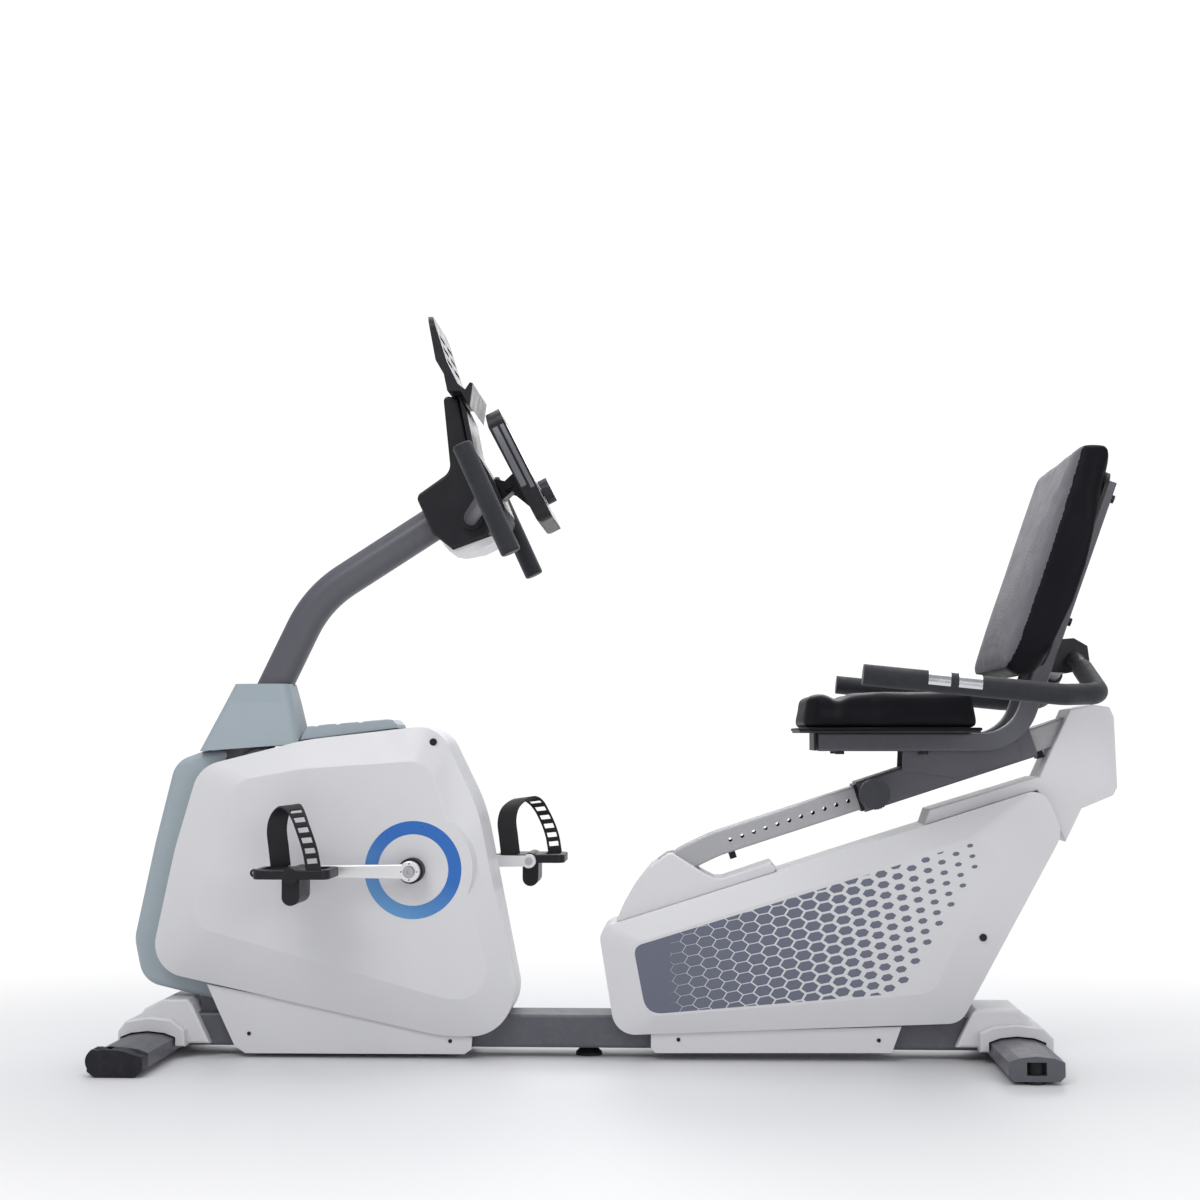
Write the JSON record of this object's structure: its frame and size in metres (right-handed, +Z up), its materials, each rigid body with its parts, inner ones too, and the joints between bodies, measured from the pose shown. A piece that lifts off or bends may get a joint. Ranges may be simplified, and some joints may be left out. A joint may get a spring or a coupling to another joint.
{
  "type": "recumbent exercise bike",
  "caption": "Recumbent exercise bike with enclosed drive, cranks with strapped pedals, a tilting display on a mast and a padded seat that slides on a sloping rail.",
  "frame": {"origin": "on the floor under the middle of the machine's length and width", "axes": "+X towards the seat end, -X towards the console end, +Y to the rider's right, +Z up"},
  "size_m": [1.6524, 0.5746, 1.234],
  "materials": {
    "frame_dark": "satin powder coat",
    "rail_white": "satin powder coat",
    "shroud_white": "satin moulded",
    "band_grey": "satin moulded",
    "black_plastic": "fine texture",
    "knob_plastic": "fine texture",
    "rubber_black": "matt",
    "foam_grip": "closed foam",
    "vinyl": "grained vinyl",
    "board": "black stained",
    "alloy": "polished",
    "steel": "ground",
    "cast": "turned",
    "chrome": "plated",
    "screen": "gloss",
    "screw_black": "black oxide"
  },
  "bodies": {
    "root": {"main_beam": "frame_dark", "stabiliser_tubes": "frame_dark", "centre_foot": "rubber_black", "stabiliser_covers": "shroud_white", "front_end_caps": "black_plastic", "rear_end_caps": "frame_dark", "left_shroud": "shroud_white", "right_shroud": "shroud_white", "centre_band": "band_grey", "top_tray": "band_grey", "mast_cover": "band_grey", "beam_skirts": "shroud_white", "drive_frame": "frame_dark", "shaft_bearings": "steel", "drive_belt": "rubber_black", "mast": "frame_dark", "console_shell": "black_plastic", "console_lower_cover": "shroud_white", "console_front_panel": "black_plastic", "tablet_holder": "black_plastic", "console_handlebar": "frame_dark", "console_grips": "foam_grip", "rear_left_shroud": "shroud_white", "rear_right_shroud": "shroud_white", "rear_nose_cover": "shroud_white", "rear_post_cover": "shroud_white", "seat_rail": "rail_white", "rail_stops": "rubber_black", "cover_screws": "screw_black"},
    "crankset": {"crank_spindle": "steel", "left_crank": "alloy", "right_crank": "alloy", "pedal_axles": "steel", "drive_pulley": "black_plastic"},
    "left_pedal": {"left_pedal": "black_plastic", "left_pedal_strap": "rubber_black"},
    "right_pedal": {"right_pedal": "black_plastic", "right_pedal_strap": "rubber_black"},
    "flywheel": {"flywheel": "cast", "flywheel_shaft": "steel"},
    "brake_arm": {"brake_arm": "steel"},
    "carriage": {"carriage_sleeve": "frame_dark", "sleeve_liners": "black_plastic", "seat_frame": "frame_dark", "pad_boards": "board", "seat_pad": "vinyl", "backrest_pad": "vinyl", "seat_handlebar": "frame_dark", "seat_grips": "foam_grip", "pulse_sensors": "chrome", "handle_clamp": "black_plastic", "seat_bolts": "screw_black"},
    "seat_lock": {"lock_knob": "knob_plastic"},
    "display": {"display_housing": "black_plastic", "display_glass": "screen"},
    "dial": {"dial_knob": "knob_plastic"},
    "wheel_left": {"front_wheel_left": "rubber_black"},
    "wheel_right": {"front_wheel_right": "rubber_black"},
    "leveller_left": {"rear_leveller_left": "rubber_black"},
    "leveller_right": {"rear_leveller_right": "rubber_black"}
  },
  "joints": [
    {"name": "crank_spin", "type": "hinge", "parent": "root", "child": "crankset", "pos_m": [-0.335, 0, 0.31], "axis": [0, 1, 0], "continuous": true},
    {"name": "left_pedal_spin", "type": "hinge", "parent": "crankset", "child": "left_pedal", "pos_m": [-0.505, -0.191, 0.31], "axis": [0, 1, 0], "continuous": true},
    {"name": "right_pedal_spin", "type": "hinge", "parent": "crankset", "child": "right_pedal", "pos_m": [-0.165, 0.191, 0.31], "axis": [0, 1, 0], "continuous": true},
    {"name": "flywheel_spin", "type": "hinge", "parent": "root", "child": "flywheel", "pos_m": [-0.52, 0, 0.25], "axis": [0, 1, 0], "continuous": true},
    {"name": "brake_swing", "type": "hinge", "parent": "root", "child": "brake_arm", "pos_m": [-0.417, 0, 0.372], "axis": [0, 1, 0], "range_deg": [0, 6]},
    {"name": "seat_slide", "type": "slide", "parent": "root", "child": "carriage", "axis": [0.9505, 0, 0.3107], "range_m": [-0.218, 0]},
    {"name": "seat_lock_pull", "type": "slide", "parent": "carriage", "child": "seat_lock", "axis": [0, -1, 0], "range_m": [0, 0.009], "stiffness_N_per_m": 1500},
    {"name": "display_tilt", "type": "hinge", "parent": "root", "child": "display", "pos_m": [-0.186, 0, 0.953], "axis": [0, 1, 0], "range_deg": [-8, 10]},
    {"name": "dial_turn", "type": "hinge", "parent": "display", "child": "dial", "pos_m": [-0.13252, 0, 0.94277], "axis": [0.8934, 0, 0.4492], "continuous": true},
    {"name": "wheel_left_roll", "type": "hinge", "parent": "root", "child": "wheel_left", "pos_m": [-0.8045, -0.221, 0.023], "axis": [0, 1, 0], "continuous": true},
    {"name": "wheel_right_roll", "type": "hinge", "parent": "root", "child": "wheel_right", "pos_m": [-0.8045, 0.221, 0.023], "axis": [0, 1, 0], "continuous": true},
    {"name": "leveller_left_turn", "type": "hinge", "parent": "root", "child": "leveller_left", "pos_m": [0.646, -0.224, 0.015], "axis": [0, 0, 1], "range_deg": [-720, 720]},
    {"name": "leveller_right_turn", "type": "hinge", "parent": "root", "child": "leveller_right", "pos_m": [0.646, 0.224, 0.015], "axis": [0, 0, 1], "range_deg": [-720, 720]}
  ],
  "couplings": [
    {"joint": "flywheel_spin", "follows": "crank_spin", "ratio": 4}
  ]
}
